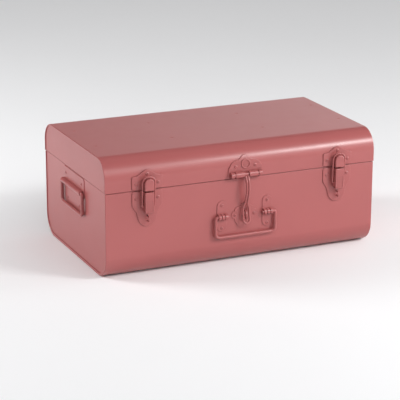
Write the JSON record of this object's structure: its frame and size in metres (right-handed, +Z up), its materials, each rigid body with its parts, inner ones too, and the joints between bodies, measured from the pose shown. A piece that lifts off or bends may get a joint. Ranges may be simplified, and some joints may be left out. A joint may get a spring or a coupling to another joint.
{
  "type": "small tin trunk",
  "caption": "Rounded sheet-metal trunk with a hinged lid, draw latches with wire loops, a hasp and staple, and drop handles on the front and both ends.",
  "frame": {"origin": "centre of the flat underside that the trunk stands on", "axes": "+X along the length towards the right end seen from the front, the latched front faces -Y, +Z up"},
  "size_m": [0.5128, 0.3168, 0.2051],
  "materials": {
    "painted_body": "satin powder coat on sheet steel, dusty terracotta pink",
    "painted_hardware": "satin powder coat over pressed and wire hardware, same colour as the body",
    "painted_rivets": "satin powder coat over blind rivets",
    "painted_pins": "satin powder coat, thinner inside the joints"
  },
  "bodies": {
    "base": {"base_left_end": "painted_body", "base_lip": "painted_body", "base_right_end": "painted_body", "base_wrap": "painted_body", "front_handle_plates": "painted_hardware", "front_handle_rivets": "painted_rivets", "hasp_staple": "painted_hardware", "hasp_staple_plate": "painted_hardware", "hinge_base_leaves": "painted_hardware", "hinge_base_rivets": "painted_rivets", "hinge_pins": "painted_pins", "latch_plate_rivets": "painted_rivets", "left_handle_plate": "painted_hardware", "left_latch_bracket": "painted_pins", "left_latch_pin": "painted_pins", "left_latch_plate": "painted_hardware", "left_latch_staple": "painted_hardware", "right_handle_plate": "painted_hardware", "right_latch_bracket": "painted_pins", "right_latch_pin": "painted_pins", "right_latch_plate": "painted_hardware", "right_latch_staple": "painted_hardware", "side_handle_rivets": "painted_rivets", "staple_plate_rivets": "painted_rivets"},
    "lid": {"lid_wrap": "painted_body", "lid_left_end": "painted_body", "lid_right_end": "painted_body", "lid_front_stiffener": "painted_body", "lid_rear_stiffener": "painted_body", "hinge_lid_leaves": "painted_hardware", "left_latch_keeper": "painted_hardware", "right_latch_keeper": "painted_hardware", "hasp_plate": "painted_hardware", "hasp_pin": "painted_pins", "lid_front_rivets": "painted_rivets", "hinge_lid_rivets": "painted_rivets"},
    "left_lever": {"left_latch_lever": "painted_hardware"},
    "right_lever": {"right_latch_lever": "painted_hardware"},
    "left_loop": {"left_latch_loop": "painted_hardware"},
    "right_loop": {"right_latch_loop": "painted_hardware"},
    "hasp_strap": {"hasp_strap": "painted_hardware"},
    "front_bail": {"front_handle_bail": "painted_hardware"},
    "left_bail": {"left_handle_bail": "painted_hardware"},
    "right_bail": {"right_handle_bail": "painted_hardware"}
  },
  "joints": [
    {"name": "lid_hinge", "type": "hinge", "parent": "base", "child": "lid", "pos_m": [0, 0.15085, 0.1502], "axis": [-1, 0, 0], "range_deg": [0, 105]},
    {"name": "left_lever_pivot", "type": "hinge", "parent": "base", "child": "left_lever", "pos_m": [-0.1759, -0.15525, 0.143], "axis": [-1, 0, 0], "range_deg": [0, 100]},
    {"name": "right_lever_pivot", "type": "hinge", "parent": "base", "child": "right_lever", "pos_m": [0.1769, -0.15525, 0.143], "axis": [-1, 0, 0], "range_deg": [0, 100]},
    {"name": "left_loop_pivot", "type": "hinge", "parent": "left_lever", "child": "left_loop", "pos_m": [-0.1759, -0.15405, 0.1234], "axis": [-1, 0, 0], "range_deg": [-116, 0]},
    {"name": "right_loop_pivot", "type": "hinge", "parent": "right_lever", "child": "right_loop", "pos_m": [0.1769, -0.15405, 0.1234], "axis": [-1, 0, 0], "range_deg": [-116, 0]},
    {"name": "hasp_swing", "type": "hinge", "parent": "lid", "child": "hasp_strap", "pos_m": [0.0022, -0.1526, 0.1572], "axis": [-1, 0, 0], "range_deg": [0, 110]},
    {"name": "front_bail_swing", "type": "hinge", "parent": "base", "child": "front_bail", "pos_m": [0.0022, -0.15205, 0.0864], "axis": [-1, 0, 0], "range_deg": [0, 90]},
    {"name": "left_bail_swing", "type": "hinge", "parent": "base", "child": "left_bail", "pos_m": [-0.25215, 0.004, 0.1228], "axis": [0, 1, 0], "range_deg": [0, 90]},
    {"name": "right_bail_swing", "type": "hinge", "parent": "base", "child": "right_bail", "pos_m": [0.25215, 0.004, 0.1228], "axis": [0, -1, 0], "range_deg": [0, 90]}
  ],
  "couplings": [
    {"joint": "left_loop_pivot", "follows": "left_lever_pivot", "ratio": -1.15},
    {"joint": "right_loop_pivot", "follows": "right_lever_pivot", "ratio": -1.15}
  ]
}
